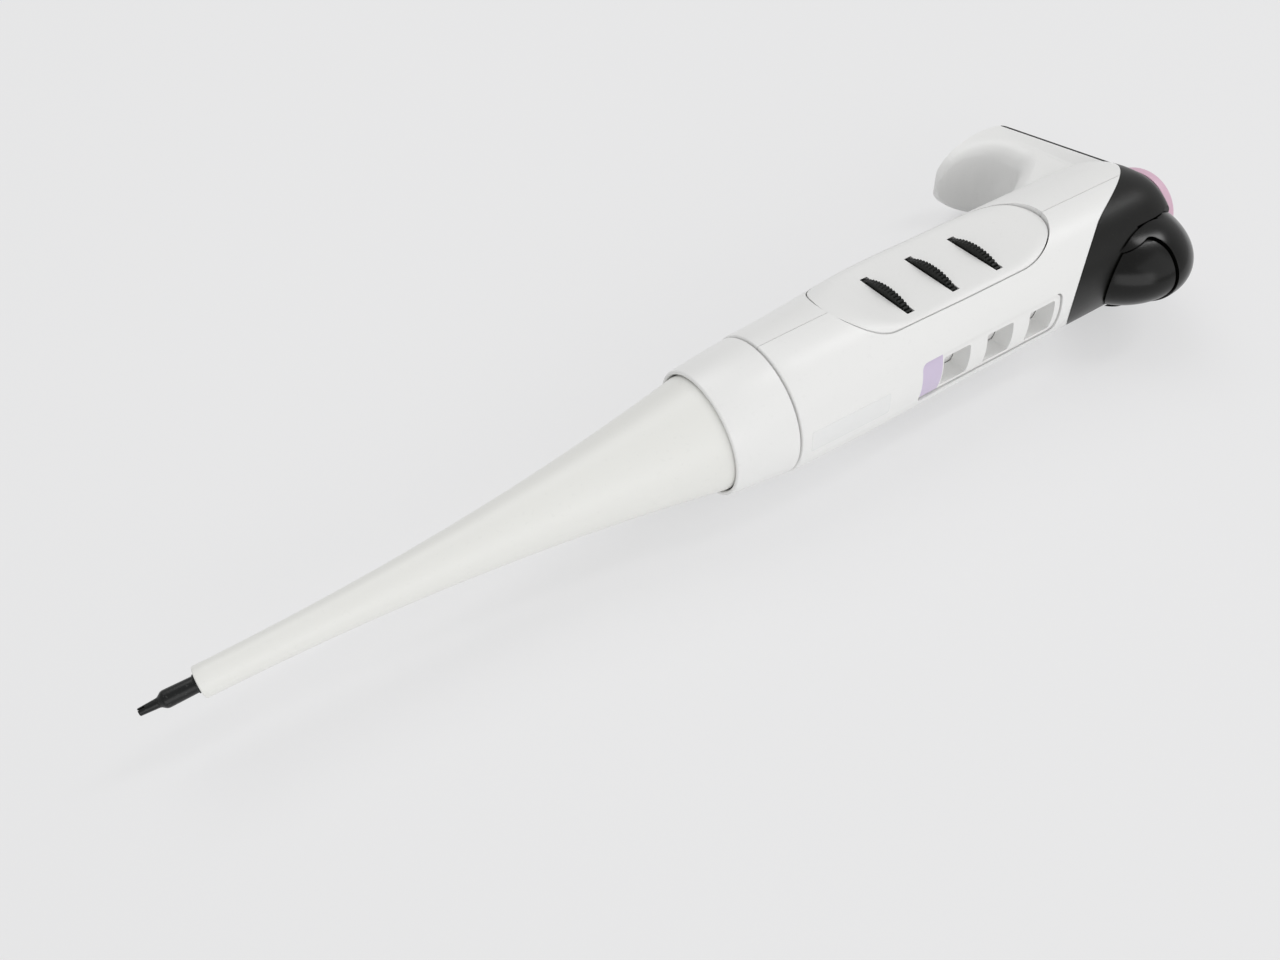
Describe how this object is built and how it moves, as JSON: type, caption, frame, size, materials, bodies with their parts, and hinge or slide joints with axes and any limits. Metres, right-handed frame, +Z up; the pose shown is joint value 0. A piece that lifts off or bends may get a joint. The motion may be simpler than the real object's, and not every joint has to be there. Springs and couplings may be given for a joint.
{
  "type": "micropipette",
  "caption": "Hand-held air-displacement lab pipette lying on its side: slim tip-ejector sleeve, white handle with thumb-wheel volume dials, dark cap, finger hook and plunger.",
  "frame": {"origin": "centre of the bounding box's bottom face, on the surface that the pipette lies on", "axes": "+X along the pipette from the nozzle to the plunger, +Y towards the finger hook, +Z up"},
  "size_m": [0.2408, 0.0642, 0.0309],
  "materials": {
    "moulded_white": "satin moulded plastic",
    "sleeve_white": "satin moulded plastic, slightly ivory",
    "cap_charcoal": "satin dark grey plastic",
    "ejector_black": "gloss black plastic",
    "nozzle_charcoal": "satin black plastic",
    "dial_black": "matt black toothed plastic",
    "plunger_pink": "satin pink plastic",
    "bright_steel": "drawn and ground steel",
    "seal_rubber": "matt seal rubber"
  },
  "bodies": {
    "handle": {"nozzle_shaft": "nozzle_charcoal", "piston_seal": "seal_rubber", "seal_retainer": "bright_steel", "collar_nut": "moulded_white", "front_shell": "moulded_white", "rear_shell": "moulded_white", "dial_panel_left": "moulded_white", "dial_panel_right": "moulded_white", "display_frame": "moulded_white", "dial_spindle": "cap_charcoal", "top_cap": "cap_charcoal", "plunger_guide": "cap_charcoal", "return_spring": "bright_steel", "ejector_spring": "bright_steel"},
    "plunger": {"plunger_cap": "plunger_pink", "plunger_button": "cap_charcoal", "plunger_rod": "bright_steel", "stop_collar": "bright_steel", "piston": "bright_steel"},
    "ejector": {"ejector_button": "ejector_black", "ejector_skirt": "cap_charcoal", "ejector_arm": "cap_charcoal", "ejector_rod": "bright_steel", "ejector_clip": "bright_steel", "ejector_yoke": "cap_charcoal", "ejector_sleeve": "sleeve_white"},
    "dial_1": {"dial_wheel_1": "dial_black", "digit_drum_1": "moulded_white"},
    "dial_2": {"dial_wheel_2": "dial_black", "digit_drum_2": "moulded_white"},
    "dial_3": {"dial_wheel_3": "dial_black", "digit_drum_3": "moulded_white"}
  },
  "joints": [
    {"name": "plunger_press", "type": "slide", "parent": "handle", "child": "plunger", "axis": [-1, 0, 0], "range_m": [0, 0.0125], "stiffness_N_per_m": 150, "springref_m": -0.008, "deforming": ["return_spring"]},
    {"name": "ejector_press", "type": "slide", "parent": "handle", "child": "ejector", "axis": [-1, 0, 0], "range_m": [0, 0.006], "stiffness_N_per_m": 250, "springref_m": -0.006, "deforming": ["ejector_spring"]},
    {"name": "dial_1_turn", "type": "hinge", "parent": "handle", "child": "dial_1", "pos_m": [0.03705, -0.00847, 0.01543], "axis": [1, 0, 0], "continuous": true},
    {"name": "dial_2_turn", "type": "hinge", "parent": "handle", "child": "dial_2", "pos_m": [0.04925, -0.00847, 0.01543], "axis": [1, 0, 0], "continuous": true},
    {"name": "dial_3_turn", "type": "hinge", "parent": "handle", "child": "dial_3", "pos_m": [0.06145, -0.00847, 0.01543], "axis": [1, 0, 0], "continuous": true}
  ]
}
